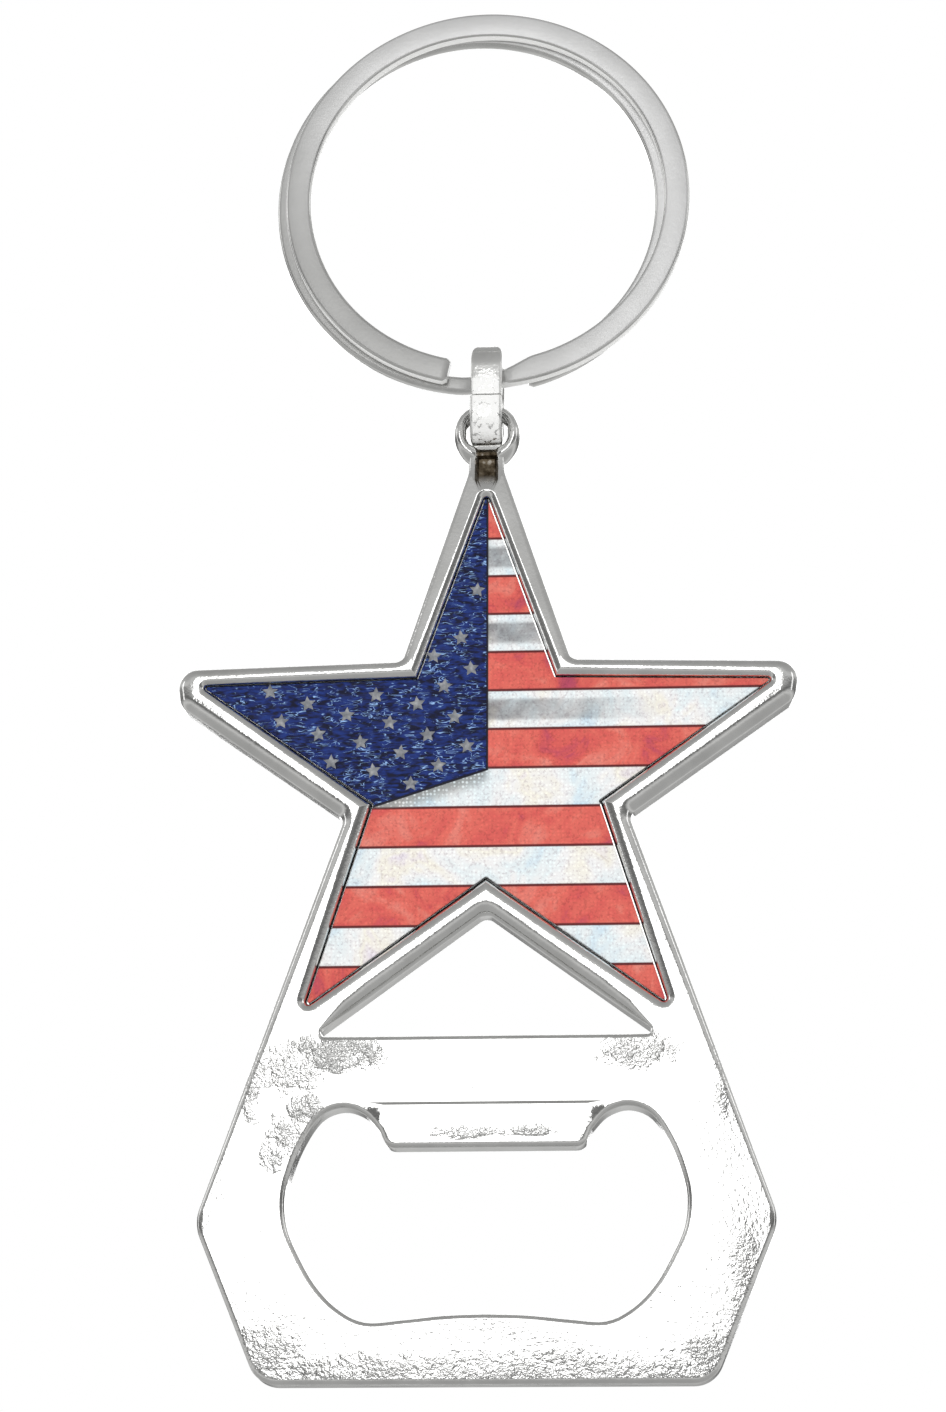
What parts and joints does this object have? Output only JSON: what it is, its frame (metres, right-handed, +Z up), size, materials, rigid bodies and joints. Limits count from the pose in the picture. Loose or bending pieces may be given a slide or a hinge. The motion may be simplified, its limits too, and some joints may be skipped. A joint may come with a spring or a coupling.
{
  "type": "keychain bottle opener",
  "caption": "Flat cast star-shaped bottle opener with a printed star insert, a cap mouth and a triangular window, on a bent strip link and a split ring.",
  "frame": {"origin": "The hanging point: the top of the split ring's inside edge, at mid depth.", "axes": "+Z up, with the keychain hanging straight down; +Y towards the back of the opener, so its printed front looks towards -Y; +X to the right as seen from the front."},
  "size_m": [0.047, 0.0046, 0.1089],
  "materials": {
    "plated_zinc": "bright nickel-chrome plate over cast zinc",
    "adhesive": "clear-cream acrylic adhesive pad",
    "aluminium": "plain rolled sheet",
    "printed_film": "glossy holographic film printed with red and white stripes and a blue star field",
    "plated_steel_strip": "bright nickel plate",
    "plated_spring_steel": "bright nickel plate, satin on the flats"
  },
  "bodies": {
    "ring": {"split_ring": "plated_spring_steel"},
    "link": {"connector_link": "plated_steel_strip"},
    "opener": {"opener_body": "plated_zinc", "insert_adhesive": "adhesive", "insert_plate": "aluminium", "insert_film": "printed_film"}
  },
  "joints": [
    {"name": "link_swing", "type": "hinge", "parent": "ring", "child": "link", "pos_m": [0, 0, -0.02937], "axis": [1, 0, 0], "range_deg": [-80, 80]},
    {"name": "opener_swing", "type": "hinge", "parent": "link", "child": "opener", "pos_m": [0, 0, -0.03193], "axis": [1, 0, 0], "range_deg": [-80, 80]}
  ]
}
